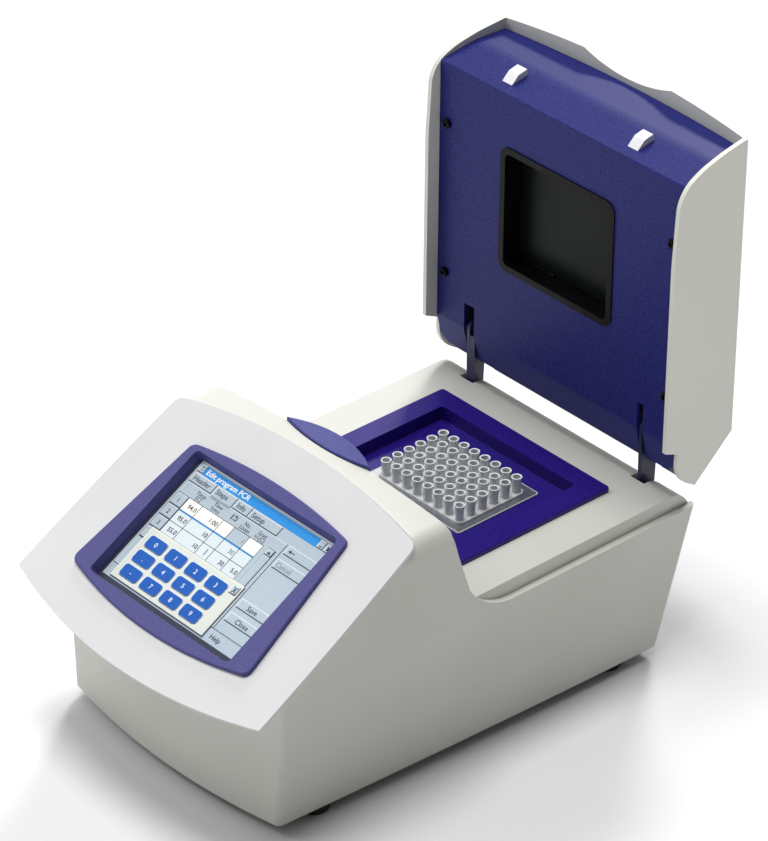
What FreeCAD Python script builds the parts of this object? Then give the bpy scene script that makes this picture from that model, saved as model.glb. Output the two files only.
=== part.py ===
import FreeCAD, Part
import math
import os

# Bench thermal cycler with a lift-up heated lid, modelled with the lid open.
# Millimetres. +X is to the right of someone facing the screen, +Y is to the back, +Z is up.
# The origin is at the middle of the footprint, on the surface that the feet stand on.

VECTOR = FreeCAD.Vector

# Lower housing
WALL = 3.0
HOUSING_BOTTOM = 7.0
LEDGE_Z = 94.5
RIDGE_LEVEL_Z = 172.0
RIDGE_CROWN_Z = 167.2
RIDGE_CROWN_RADIUS = 640.0
RIDGE_END_RADIUS = 12.0
FRONT_CORNER_Y = -152.0
FRONT_CENTRE_Y = -161.6
REAR_BOTTOM_Y = 129.5
REAR_LEDGE_Y = 155.5
REAR_SLOPE = (REAR_LEDGE_Y - REAR_BOTTOM_Y) / (LEDGE_Z - HOUSING_BOTTOM)

# Deck behind the ridge, where the sample recess is
DECK_Z = 104.0
DECK_HALF_WIDTH = 99.6
DECK_END_Y = 138.0
RIDGE_FOOT_Y = -17.0
RIDGE_LEAN = 0.33

# Screen fascia, a sloped plate across the front
FASCIA_ORIGIN = VECTOR(0.0, -174.03, 98.61)
FASCIA_SLOPE = 29.77
FASCIA_THICKNESS = 4.6
FASCIA_CROWN_RADIUS = 3000.0
FASCIA_TOP_CENTRE = 140.4
FASCIA_BOTTOM_CENTRE = -22.2
FASCIA_BOTTOM_CORNER = (105.4, -5.8)

# Screen
SCREEN_LEFT_RIGHT = 59.0
SCREEN_LOW = 15.7
SCREEN_HIGH = 105.0
GLASS_DEPTH = 5.2
GLASS_THICKNESS = 1.1

# Sample recess and its contents, all centred on BLOCK_Y
BLOCK_Y = 58.0
WELL_PITCH = 9.0
WELL_COLUMNS = 8
WELL_ROWS = 6
RIM_Z = 110.0
FRAME_TOP_Z = 107.0
RECESS_FLOOR_Z = 98.4
BLOCK_TOP_Z = 99.2
BLOCK_BASE_Z = 77.0

# Cooling stack under the block
PELTIER_THICKNESS = 3.6
SINK_BASE_THICKNESS = 7.0
SINK_FIN_HEIGHT = 30.0
FAN_SIZE = 92.0
FAN_DEPTH = 25.0
FAN_FLOOR_Z = 9.6

# Lid hinge
HINGE_Y = 161.0
HINGE_Z = 133.0
HINGE_X = 73.4
ARM_THICKNESS = 2.4
ARM_WEB_INNER = 67.8
ARM_SLOT_INNER = 67.2
ARM_SLOT_OUTER = 76.0
HINGE_PIN_RADIUS = 3.0
PIN_CLEARANCE = 0.05
ARM_SCREW_Y = 142.2
ARM_SCREW_HEIGHTS = (82.5, 89.5)

# Lid, standing upright
CASE_HALF_WIDTH = 101.0
CASE_FACE_Y = 137.0
CASE_TOP_Z = 310.2
CASE_WALL = 2.6
CASE_BEND_Z = 139.1
CASE_LOW_Z = 119.4
COVER_FRONT_Y = 128.7
COVER_HALF_WIDTH = 103.5
COVER_BACK_HALF_WIDTH = 99.4
COVER_WALL = 2.8
COVER_BACK_CENTRE_Y = 193.4
COVER_BACK_CORNER_Y = 188.3
COVER_CORNER_Z = 322.2
COVER_CROWN_Z = 326.2
COVER_NOTCH_Z = 319.0
COVER_NOTCH_RADIUS = 99.0
COVER_TIP_Y = 156.1
COVER_TIP_Z = 106.1
COVER_HINGE_SLOPE = 0.767
WINDOW_HALF_WIDTH = 45.9
WINDOW_LOW_Z = 195.4
WINDOW_HIGH_Z = 275.2
HEATED_PLATE_Y = 149.0
ROD_RADIUS = 2.5
ROD_X = 32.0
ROD_Z = 26.0
HOOK_X = 51.5

# Release pad and latch
PAD_HALF_LENGTH = 35.5
PAD_TIP_Y = -37.0
PAD_FRONT_Y = -42.3
PAD_REAR_Y = -27.3
PAD_TOP_Z = 168.4
PAD_THICKNESS = 3.4
PAD_TRAVEL = 3.0
LATCH_Z = 129.6
LATCH_LIP_Y = -24.8
PLUNGER_BACK_Y = -38.7
SPRING_X = 18.0
SPRING_Y = -38.6
SPRING_SEAT_Z = 153.0

# Mains switch, at rest in its off position
ROCKER_TILT = 7.0

# Feet
FOOT_RADIUS = 11.0
FRONT_FOOT = (81.0, -119.0)
REAR_FOOT = (90.0, 100.0)

# Screws that hold the floor to the housing, as (x, y) on the right-hand side
FLOOR_SCREWS = ((82.0, -140.0), (88.0, -60.0), (84.0, 118.0))

SMALL_GAP = 0.3


def box(x0, x1, y0, y1, z0, z1):
    """A block between two corners."""
    return Part.makeBox(x1 - x0, y1 - y0, z1 - z0, VECTOR(x0, y0, z0))


def cylinder(start, direction, radius, length):
    """A round bar from a point, along a direction."""
    return Part.makeCylinder(radius, length, VECTOR(*start), VECTOR(*direction))


def rounded_edges(corners):
    """Edges of a closed outline in the XY plane. Each corner is (x, y, radius)."""
    count = len(corners)
    starts = []
    ends = []
    middles = []
    for index in range(count):
        before = VECTOR(*corners[index - 1][:2], 0)
        point = VECTOR(*corners[index][:2], 0)
        after = VECTOR(*corners[(index + 1) % count][:2], 0)
        radius = corners[index][2]
        toward_before = (before - point).normalize()
        toward_after = (after - point).normalize()
        half_angle = toward_before.getAngle(toward_after) / 2
        if radius <= 0:
            starts.append(point)
            ends.append(point)
            middles.append(None)
            continue
        reach = radius / math.tan(half_angle)
        bisector = (toward_before + toward_after).normalize()
        centre = point + bisector * (radius / math.sin(half_angle))
        starts.append(point + toward_before * reach)
        ends.append(point + toward_after * reach)
        middles.append(centre - bisector * radius)
    edges = []
    for index in range(count):
        if middles[index] is not None:
            edges.append(Part.Arc(starts[index], middles[index], ends[index]).toShape())
        following = starts[(index + 1) % count]
        if (following - ends[index]).Length > 1e-6:
            edges.append(Part.LineSegment(ends[index], following).toShape())
    return edges


def outline(corners):
    """A closed wire in the XY plane, with rounded corners."""
    return Part.Wire(rounded_edges(corners))


def extrude_wire(wire, height, base=0.0):
    """A flat wire in the XY plane pushed up from the base level."""
    solid = Part.Face(wire).extrude(VECTOR(0, 0, height))
    solid.translate(VECTOR(0, 0, base))
    return solid


def side_prism(corners, x0, x1, grow=0.0):
    """A prism along X whose corners are (y, z, radius). Grow moves its walls outwards."""
    wire = outline(corners)
    if grow:
        wire = wire.makeOffset2D(grow, 0, False, False, False)
        wire = wire if isinstance(wire, Part.Wire) else Part.Wire(wire.Edges)
    solid = extrude_wire(wire, x1 - x0)
    # The outline's XY plane becomes YZ and its height becomes X.
    solid.Placement = FreeCAD.Placement(FreeCAD.Matrix(0, 0, 1, x0, 1, 0, 0, 0, 0, 1, 0, 0, 0, 0, 0, 1))
    return solid


def mirror_x(solid):
    """The same piece on the other side of the middle plane."""
    return solid.mirror(VECTOR(0, 0, 0), VECTOR(1, 0, 0))


def both_sides(solid):
    """A piece and its mirror image."""
    return [solid, mirror_x(solid)]


def fuse_all(solids):
    """One solid from several that touch."""
    first = solids[0]
    if len(solids) == 1:
        return first
    return first.fuse(solids[1:]).removeSplitter()


def cut_all(solid, cutters):
    """A solid with several others taken away."""
    return solid.cut(cutters)


def plate(x_centre, y_centre, width, depth, base, height, radius):
    """A rounded rectangular plate that lies flat."""
    w = width / 2
    d = depth / 2
    corners = [(x_centre - w, y_centre - d, radius), (x_centre + w, y_centre - d, radius),
               (x_centre + w, y_centre + d, radius), (x_centre - w, y_centre + d, radius)]
    return extrude_wire(outline(corners), height, base)


def fillet_if_possible(solid, edges, radius):
    """The solid with the edges rounded, or as it was if the rounding can't be made."""
    if not edges:
        return solid
    try:
        rounded = solid.makeFillet(radius, edges)
    except Exception:
        print("fillet not made, radius", radius, "edges", len(edges))
        return solid
    if not rounded.isValid() or rounded.Volume <= 0:
        print("fillet not valid, radius", radius, "edges", len(edges))
        return solid
    return rounded


def on_fascia(solid):
    """Places a shape drawn on the fascia's own plane: x across, y up the slope, z outwards."""
    placed = solid.copy()
    placed.rotate(VECTOR(0, 0, 0), VECTOR(1, 0, 0), FASCIA_SLOPE)
    placed.translate(FASCIA_ORIGIN)
    return placed


def on_rear_wall(solid):
    """Places a shape drawn on the rear wall: x across, y up the wall, -z outwards."""
    placed = solid.copy()
    angle = 90.0 - math.degrees(math.atan(REAR_SLOPE))
    placed.rotate(VECTOR(0, 0, 0), VECTOR(1, 0, 0), angle)
    placed.translate(VECTOR(0, REAR_BOTTOM_Y, HOUSING_BOTTOM))
    return placed


def write(name, solids):
    """Writes one named piece, or a group of separate solids."""
    if isinstance(solids, list):
        shape = Part.makeCompound(solids)
    else:
        shape = solids
    for solid in shape.Solids:
        if not solid.isValid():
            print(name, "has a solid that is not valid")
    if not shape.Solids:
        raise ValueError(name + " has no solid")
    shape = Part.makeCompound(shape.Solids) if len(shape.Solids) > 1 else shape.Solids[0]
    shape.exportStep(os.path.join("parts", name + ".step"))


# ---------------------------------------------------------------- lower housing

def housing_level(z, front_half, rear_half, blend_y, power, rear_y, inset):
    """Plan outline of the housing at one height, from front arc to rear edge."""
    rear = rear_y - inset
    front_corner = FRONT_CORNER_Y + inset
    right = []
    steps = 8
    for step in range(steps + 1):
        y = front_corner + (rear - front_corner) * step / steps
        drop = max(0.0, (blend_y - y) / (blend_y - FRONT_CORNER_Y))
        half = rear_half - (rear_half - front_half) * drop ** power - inset
        right.append(VECTOR(half, y, z))
    left = [VECTOR(-point.x, point.y, z) for point in right]
    right_side = Part.BSplineCurve()
    right_side.interpolate(right)
    left_side = Part.BSplineCurve()
    left_side.interpolate(left[::-1])
    front = Part.Arc(left[0], VECTOR(0, FRONT_CENTRE_Y + inset, z), right[0])
    back = Part.LineSegment(right[-1], left[-1])
    edges = [front.toShape(), right_side.toShape(), back.toShape(), left_side.toShape()]
    return Part.Wire(edges)


def fascia_top_arc(offset=0.0):
    """Points of the fascia's top edge in its own plane, left to right."""
    return [(-97.0, 129.5 + offset), (0.0, FASCIA_TOP_CENTRE + offset), (97.0, 129.5 + offset)]


def slope_cutter(inset):
    """Everything in front of the fascia's seat."""
    seat = -FASCIA_THICKNESS - inset
    left, middle, right = [VECTOR(x, y, 0) for x, y in fascia_top_arc(0.4 - inset)]
    far = 130.0
    low = -90.0
    top = Part.Arc(left, middle, right).toShape()
    corners = [right, VECTOR(far, right.y - 10, 0), VECTOR(far, low, 0),
               VECTOR(-far, low, 0), VECTOR(-far, left.y - 10, 0), left]
    lines = [Part.makeLine(corners[i], corners[i + 1]) for i in range(len(corners) - 1)]
    return on_fascia(extrude_wire(Part.Wire([top] + lines), 120.0, seat))


def deck_cutter(inset):
    """The space above the deck and behind the ridge."""
    top_z = 190.0
    far_y = 230.0
    lean_y = RIDGE_FOOT_Y - (top_z - DECK_Z) * RIDGE_LEAN
    corners = [(RIDGE_FOOT_Y, DECK_Z, 3.0), (DECK_END_Y + 9.0, DECK_Z, 15.0),
               (DECK_END_Y + 20.5, LEDGE_Z - 8.0, 0), (far_y, LEDGE_Z - 8.0, 0),
               (far_y, top_z, 0), (lean_y, top_z, 0)]
    half = DECK_HALF_WIDTH - inset
    return side_prism(corners, -half, half, inset)


def ledge_cutter(inset):
    """The space above the right-hand ledge, which sweeps up into the ridge."""
    top_z = 190.0
    far_y = 230.0
    ledge_foot_y = -18.3
    lean_y = ledge_foot_y - (top_z - LEDGE_Z) * 0.27
    corners = [(ledge_foot_y, LEDGE_Z, 38.0), (far_y, LEDGE_Z, 0), (far_y, top_z, 0), (lean_y, top_z, 0)]
    return side_prism(corners, DECK_HALF_WIDTH - inset, 130.0, inset)


def housing_block(inset, bottom_drop=0.0):
    """The housing's outer form, drawn in by the inset on every side."""
    low = housing_level(HOUSING_BOTTOM - bottom_drop, 90.5, 104.0, 129.0, 1.3, REAR_BOTTOM_Y, inset)
    middle = housing_level(LEDGE_Z, 95.0, 104.5, 40.0, 2.0, REAR_LEDGE_Y, inset)
    top_rear = REAR_LEDGE_Y + (RIDGE_LEVEL_Z - LEDGE_Z) * REAR_SLOPE
    top = housing_level(RIDGE_LEVEL_Z, 98.5, 102.2, 40.0, 2.0, top_rear, inset)
    block = Part.makeLoft([low, middle, top], True, True)
    crown_radius = RIDGE_CROWN_RADIUS - inset
    crown_axis_z = RIDGE_CROWN_Z - RIDGE_CROWN_RADIUS
    crown = cylinder((0, -220, crown_axis_z), (0, 1, 0), crown_radius, 460.0)
    block = block.common(crown)
    ends = [edge for edge in block.Edges if abs(edge.CenterOfMass.x) > 80 and edge.CenterOfMass.z > 145]
    ends = [edge for edge in ends if edge.BoundBox.YLength > 100]
    block = fillet_if_possible(block, ends, RIDGE_END_RADIUS - inset)
    block = block.cut(slope_cutter(inset))
    block = block.cut(deck_cutter(inset))
    block = block.cut(both_sides(ledge_cutter(inset)))
    return block


def pad_outline(grow=0.0):
    """The release pad's leaf-shaped outline, two arcs that meet at the tips."""
    tip = PAD_HALF_LENGTH + grow * 2.0
    left = VECTOR(-tip, PAD_TIP_Y, 0)
    right = VECTOR(tip, PAD_TIP_Y, 0)
    front = Part.Arc(left, VECTOR(0, PAD_FRONT_Y - grow, 0), right).toShape()
    rear = Part.Arc(right, VECTOR(0, PAD_REAR_Y + grow, 0), left).toShape()
    return Part.Wire([front, rear])


def hook_slots():
    """Two slots in the ridge's rear wall that the lid's hooks enter."""
    low = DECK_Z + 8.5
    slots = []
    for x in (-HOOK_X, HOOK_X):
        slots.append(box(x - 5.5, x + 5.5, -45.0, -10.0, low, low + 23.5))
    return slots


def arm_slot(side):
    """The slot in the deck that a hinge arm stands in, open at the rear edge."""
    centre = side * HINGE_X
    return box(centre - 5.6, centre + 5.6, 137.2, 153.5, DECK_Z - 14.0, DECK_Z + 5.0)


def rear_opening():
    """The opening in the rear wall that the rear panel covers."""
    return on_rear_wall(plate(0, 36.0, 164.0, 50.0, -10.0, 20.0, 3.0))


def make_main_housing():
    """White moulded housing: front wall, sides, ridge, deck and ledges."""
    outer = housing_block(0.0)
    edges = [edge for edge in outer.Edges
             if edge.BoundBox.ZLength > 60 and abs(edge.CenterOfMass.y) > 120]
    outer = fillet_if_possible(outer, edges, 4.0)
    inner = housing_block(WALL, 1.0)
    shell = outer.cut(inner)
    recess = plate(0, BLOCK_Y, 130.0, 104.0, DECK_Z - 10, 20.0, 3.0)
    screen = on_fascia(plate(0, 59.0, 134.0, 104.0, -20.0, 40.0, 4.0))
    pad_pocket = extrude_wire(pad_outline(0.5), 30.0, PAD_TOP_Z - PAD_THICKNESS - PAD_TRAVEL - 0.6)
    cutters = [recess, screen, rear_opening(), pad_pocket] + hook_slots() + [arm_slot(-1), arm_slot(1)]
    shell = cut_all(shell, cutters)
    shell = fuse_all([largest(shell), pad_floor()] + floor_bosses(outer) + spring_cups())
    blade_slot = box(-5.4, 5.4, PLUNGER_BACK_Y - 3.6, PLUNGER_BACK_Y + 0.4, LATCH_Z - 6.0, PAD_TOP_Z)
    return largest(shell.cut([blade_slot] + spring_wells()))


def floor_bosses(outer):
    """Bosses on the side walls that the floor screws go into."""
    bosses = []
    for x, y in FLOOR_SCREWS:
        boss = box(x - 3.6, 120.0, y - 4.0, y + 4.0, HOUSING_BOTTOM + 2.2, HOUSING_BOTTOM + 15.0)
        boss = boss.common(outer)
        bosses += both_sides(boss.cut(cylinder((x, y, 0), (0, 0, 1), 1.5, 18.0)))
    return bosses


def spring_cups():
    """Cups under the pad's pocket that hold its two springs."""
    top = PAD_TOP_Z - PAD_THICKNESS - PAD_TRAVEL - 0.6
    cup = cylinder((SPRING_X, SPRING_Y, SPRING_SEAT_Z - 1.2), (0, 0, 1), 2.6, top - SPRING_SEAT_Z + 0.6)
    return both_sides(cup)


def spring_wells():
    """The round wells inside the spring cups."""
    return both_sides(cylinder((SPRING_X, SPRING_Y, SPRING_SEAT_Z), (0, 0, 1), 1.9, 20.0))


def pad_floor():
    """The floor of the pad's pocket, moulded into the ridge."""
    top = PAD_TOP_Z - PAD_THICKNESS - PAD_TRAVEL - 0.6
    slab = extrude_wire(pad_outline(3.0), 2.4, top - 2.4)
    return slab.common(housing_block(WALL / 2))


def largest(shape):
    """The biggest solid of a shape."""
    return max(shape.Solids, key=lambda solid: solid.Volume)


def make_bottom_plate():
    """Steel floor with air slots under the fan and towards the front."""
    inner = housing_block(WALL + SMALL_GAP, 1.0)
    slab = box(-120, 120, -170, 140, HOUSING_BOTTOM, HOUSING_BOTTOM + 2.0).common(inner)
    slots = []
    for index in range(13):
        x = (index - 6) * 6.0
        slots.append(plate(x, BLOCK_Y, 3.0, 78.0, HOUSING_BOTTOM - 1, 4.0, 1.4))
    for index in range(11):
        x = (index - 5) * 9.0
        slots.append(plate(x, -85.0, 3.0, 34.0, HOUSING_BOTTOM - 1, 4.0, 1.4))
    holes = []
    for x, y in FLOOR_SCREWS:
        holes += both_sides(cylinder((x, y, 0), (0, 0, 1), 1.7, 30.0))
    for x, y in (FRONT_FOOT, REAR_FOOT):
        holes += both_sides(cylinder((x, y, 0), (0, 0, 1), 2.1, 30.0))
    return largest(slab.cut(slots + holes))


def make_rear_panel():
    """Steel panel in the rear wall, with cut-outs for the inlet, the switch, the port and air slots."""
    panel = plate(0, 36.0, 163.4, 49.4, 0.4, 2.0, 2.8)
    cutters = [plate(-54.0, 38.0, 27.6, 20.4, -5, 12.0, 1.0), plate(-23.0, 38.0, 13.6, 19.6, -5, 12.0, 1.0),
               plate(57.0, 38.0, 12.2, 11.0, -5, 12.0, 0.8)]
    for index in range(9):
        cutters.append(plate(4.0 + index * 5.0, 36.0, 2.6, 36.0, -5, 12.0, 1.2))
    return on_rear_wall(panel.cut(cutters))


def make_rubber_feet():
    """Four round feet."""
    feet = []
    for x, y in (FRONT_FOOT, REAR_FOOT):
        foot = Part.makeCone(FOOT_RADIUS - 1.5, FOOT_RADIUS, HOUSING_BOTTOM, VECTOR(x, y, 0))
        foot = fillet_if_possible(foot, bottom_edges(foot), 1.2)
        foot = foot.cut(cylinder((x, y, -1), (0, 0, 1), 4.0, 4.0))
        foot = foot.cut(cylinder((x, y, -1), (0, 0, 1), 2.1, 12.0))
        feet += both_sides(foot)
    return feet


def bottom_edges(solid):
    """The edges that lie at a solid's lowest height."""
    low = solid.BoundBox.ZMin
    return [edge for edge in solid.Edges if edge.BoundBox.ZMax < low + 0.01]


def make_foot_screws():
    """A screw through each foot into the floor."""
    screws = []
    for x, y in (FRONT_FOOT, REAR_FOOT):
        head = cylinder((x, y, 1.0), (0, 0, 1), 3.4, 2.0)
        shank = cylinder((x, y, 3.0), (0, 0, 1), 2.0, 5.5)
        screws += both_sides(head.fuse(shank))
    return screws


# ---------------------------------------------------------------- fascia and screen

def make_front_fascia():
    """White sloped plate with arched top and bottom edges and a slight crown."""
    corner_x, corner_b = FASCIA_BOTTOM_CORNER
    top_corner = VECTOR(101.6, 128.4, 0)
    bottom_right = VECTOR(corner_x, corner_b, 0)
    bottom = Part.Arc(VECTOR(-corner_x, corner_b, 0), VECTOR(0, FASCIA_BOTTOM_CENTRE, 0), bottom_right)
    right = Part.Arc(bottom_right, VECTOR(104.4, 65.0, 0), top_corner)
    top = Part.Arc(top_corner, VECTOR(0, FASCIA_TOP_CENTRE, 0), VECTOR(-101.6, 128.4, 0))
    left = Part.Arc(VECTOR(-101.6, 128.4, 0), VECTOR(-104.4, 65.0, 0), VECTOR(-corner_x, corner_b, 0))
    wire = Part.Wire([bottom.toShape(), right.toShape(), top.toShape(), left.toShape()])
    blank = extrude_wire(wire, FASCIA_THICKNESS + 1.0, -FASCIA_THICKNESS)
    uprights = [edge for edge in blank.Edges if edge.BoundBox.ZLength > 4 and edge.BoundBox.XLength < 0.1]
    blank = blank.makeFillet(7.5, [edge for edge in uprights if edge.CenterOfMass.y > 100])
    uprights = [edge for edge in blank.Edges if edge.BoundBox.ZLength > 4 and edge.BoundBox.XLength < 0.1]
    blank = blank.makeFillet(1.6, [edge for edge in uprights if edge.CenterOfMass.y < 0])
    crown = cylinder((0, -80, -FASCIA_CROWN_RADIUS), (0, 1, 0), FASCIA_CROWN_RADIUS, 280.0)
    blank = blank.common(crown)
    crowned = max(blank.Faces, key=lambda face: face.CenterOfMass.z * 1000 + face.Area)
    blank = fillet_if_possible(blank, crowned.OuterWire.Edges, 1.4)
    opening = plate(0, 60.6, 125.0, 96.0, -20.0, 40.0, 3.0)
    return on_fascia(blank.cut(opening))


def bezel_outline(grow=0.0):
    """The bezel's outer outline: arched top and bottom, sides that spread downwards."""
    top_x = 66.7 + grow
    top_b = 108.8 + grow
    low_x = 76.4 + grow
    low_b = 14.4 - grow
    top = Part.Arc(VECTOR(top_x, top_b, 0), VECTOR(0, 114.9 + grow, 0), VECTOR(-top_x, top_b, 0))
    bottom = Part.Arc(VECTOR(-low_x, low_b, 0), VECTOR(0, 3.7 - grow, 0), VECTOR(low_x, low_b, 0))
    right = Part.makeLine(VECTOR(low_x, low_b, 0), VECTOR(top_x, top_b, 0))
    left = Part.makeLine(VECTOR(-top_x, top_b, 0), VECTOR(-low_x, low_b, 0))
    return Part.Wire([bottom.toShape(), right, top.toShape(), left])


def make_screen_bezel():
    """Blue-violet frame round the screen, proud of the fascia, with a bevelled inner edge."""
    seat = -1.6
    proud = 1.7
    blank = extrude_wire(bezel_outline(), proud - seat, seat)
    uprights = [edge for edge in blank.Edges if edge.BoundBox.ZLength > 1 and edge.BoundBox.XLength < 0.1]
    blank = blank.makeFillet(5.5, uprights)
    rim = [edge for edge in blank.Edges if edge.BoundBox.ZMin > proud - 0.01]
    blank = fillet_if_possible(blank, rim, 1.2)
    middle_b = (SCREEN_LOW + SCREEN_HIGH) / 2
    high = SCREEN_HIGH - SCREEN_LOW
    collar = plate(0, middle_b, 124.2, 95.2, -GLASS_DEPTH, GLASS_DEPTH, 3.0)
    wide = outline(rectangle(0, middle_b, 2 * SCREEN_LEFT_RIGHT + 3.0, high + 3.0, 3.0))
    narrow = outline(rectangle(0, middle_b, 2 * SCREEN_LEFT_RIGHT, high, 1.5))
    wide.translate(VECTOR(0, 0, proud + 0.01))
    narrow.translate(VECTOR(0, 0, -GLASS_DEPTH - 0.01))
    funnel = Part.makeLoft([narrow, wide], True, True)
    bezel = on_fascia(largest(blank.fuse(collar).cut(funnel)))
    return largest(bezel.cut(make_front_fascia()))


def rectangle(x_centre, y_centre, width, depth, radius):
    """Corners of a rounded rectangle."""
    w = width / 2
    d = depth / 2
    return [(x_centre - w, y_centre - d, radius), (x_centre + w, y_centre - d, radius),
            (x_centre + w, y_centre + d, radius), (x_centre - w, y_centre + d, radius)]


def make_touch_glass():
    """Touch panel glass behind the bezel."""
    middle_b = (SCREEN_LOW + SCREEN_HIGH) / 2
    low = -GLASS_DEPTH - GLASS_THICKNESS
    return on_fascia(plate(0, middle_b, 123.8, 94.8, low, GLASS_THICKNESS, 3.0))


def make_lcd_module():
    """Colour LCD in its metal frame."""
    middle_b = (SCREEN_LOW + SCREEN_HIGH) / 2
    top = -GLASS_DEPTH - GLASS_THICKNESS
    thickness = 7.5
    module = plate(0, middle_b, 122.0, 93.0, top - thickness, thickness, 1.0)
    return on_fascia(module)


def make_display_board():
    """Controller board behind the LCD, with its chips and connector."""
    middle_b = (SCREEN_LOW + SCREEN_HIGH) / 2
    top = -GLASS_DEPTH - GLASS_THICKNESS - 7.5
    board = plate(0, middle_b, 118.0, 88.0, top - 1.6, 1.6, 1.0)
    parts = [board]
    for x, b, width, depth in ((-30.0, 50.0, 24.0, 24.0), (12.0, 70.0, 18.0, 12.0), (30.0, 40.0, 30.0, 8.0)):
        parts.append(plate(x, b, width, depth, top - 4.6, 3.2, 0.5))
    return on_fascia(fuse_all(parts))


# ---------------------------------------------------------------- sample block and cooling stack

def well_centres():
    """Centres of the 48 wells, on the standard pitch."""
    centres = []
    for column in range(WELL_COLUMNS):
        x = (column - (WELL_COLUMNS - 1) / 2) * WELL_PITCH
        for row in range(WELL_ROWS):
            y = BLOCK_Y + (row - (WELL_ROWS - 1) / 2) * WELL_PITCH
            centres.append((x, y))
    return centres


def make_block_frame():
    """Blue tray that stands on the deck and forms the sample recess."""
    top = plate(0, BLOCK_Y, 144.0, 118.0, DECK_Z, FRAME_TOP_Z - DECK_Z, 2.5)
    rim = [edge for edge in top.Edges if edge.BoundBox.ZMin > FRAME_TOP_Z - 0.01]
    top = fillet_if_possible(top, rim, 0.8)
    well = plate(0, BLOCK_Y, 119.6, 95.6, RECESS_FLOOR_Z - 2.4, DECK_Z - RECESS_FLOOR_Z + 2.4, 3.0)
    tray = top.fuse(well)
    recess = plate(0, BLOCK_Y, 114.0, 90.0, RECESS_FLOOR_Z, 20.0, 2.5)
    block_hole = plate(0, BLOCK_Y, 82.0, 64.0, RECESS_FLOOR_Z - 10, 20.0, 2.0)
    return largest(tray.cut([recess, block_hole]))


def make_block_seal():
    """Silicone gasket between the block and the tray's floor."""
    ring = plate(0, BLOCK_Y, 81.8, 63.8, RECESS_FLOOR_Z - 2.4, 3.0, 1.9)
    return ring.cut(plate(0, BLOCK_Y, 80.2, 62.2, RECESS_FLOOR_Z - 3, 5.0, 1.4))


def make_sample_block():
    """Aluminium block with 48 conical wells."""
    block = plate(0, BLOCK_Y, 80.0, 62.0, BLOCK_BASE_Z, BLOCK_TOP_Z - BLOCK_BASE_Z, 1.5)
    wells = []
    for x, y in well_centres():
        wells.append(Part.makeCone(1.9, 3.3, 12.5, VECTOR(x, y, BLOCK_TOP_Z - 12.5)))
    return block.cut(wells)


def tube_profile():
    """Half section of one sample tube, closed at the bottom."""
    neck = BLOCK_TOP_Z + 0.3
    tip = BLOCK_TOP_Z - 10.8
    points = [(0, tip), (1.1, tip), (1.6, tip + 0.7), (2.5, neck), (2.9, RIM_Z - 1.1), (3.25, RIM_Z - 1.0),
              (3.25, RIM_Z), (2.55, RIM_Z), (2.05, neck + 1), (1.2, tip + 1.2), (0, tip + 0.8)]
    corners = [VECTOR(x, 0, z) for x, z in points]
    return Part.Face(Part.makePolygon(corners + corners[:1]))


def make_sample_plate():
    """Clear tube plate: a thin sheet that carries 48 open tubes."""
    sheet = plate(0, BLOCK_Y, 71.6, 52.4, BLOCK_TOP_Z + 0.1, 1.0, 4.0)
    tube = tube_profile().revolve(VECTOR(0, 0, 0), VECTOR(0, 0, 1), 360)
    bore = Part.makeCone(1.8, 2.35, 12.0, VECTOR(0, 0, BLOCK_TOP_Z - 4.0))
    tubes = []
    bores = []
    for x, y in well_centres():
        placed = tube.copy()
        placed.translate(VECTOR(x, y, 0))
        tubes.append(placed)
        hollow = bore.copy()
        hollow.translate(VECTOR(x, y, 0))
        bores.append(hollow)
    return sheet.cut(bores).fuse(tubes)


def make_peltier_modules():
    """Four thermoelectric modules between the block and the heat sink."""
    modules = []
    base = BLOCK_BASE_Z - PELTIER_THICKNESS
    for x in (-20.0, 20.0):
        for y in (BLOCK_Y - 15.5, BLOCK_Y + 15.5):
            modules.append(box(x - 19, x + 19, y - 14.5, y + 14.5, base, BLOCK_BASE_Z))
    return modules


def make_heat_sink():
    """Finned aluminium heat sink."""
    top = BLOCK_BASE_Z - PELTIER_THICKNESS
    base = top - SINK_BASE_THICKNESS
    sink = [plate(0, BLOCK_Y, 104.0, 92.0, base, SINK_BASE_THICKNESS, 2.0)]
    fins = 15
    for index in range(fins):
        x = (index - (fins - 1) / 2) * 6.2
        sink.append(box(x - 0.8, x + 0.8, BLOCK_Y - 44.0, BLOCK_Y + 44.0, base - SINK_FIN_HEIGHT, base))
    return fuse_all(sink)


def make_sink_posts():
    """Four pillars that carry the heat sink on the floor, outside the fan."""
    posts = []
    base = BLOCK_BASE_Z - PELTIER_THICKNESS - SINK_BASE_THICKNESS
    for y in (BLOCK_Y - 38.0, BLOCK_Y + 38.0):
        post = box(49.2, 51.9, y - 6.0, y + 6.0, HOUSING_BOTTOM + 2.0, base)
        posts += both_sides(post)
    return posts


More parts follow.
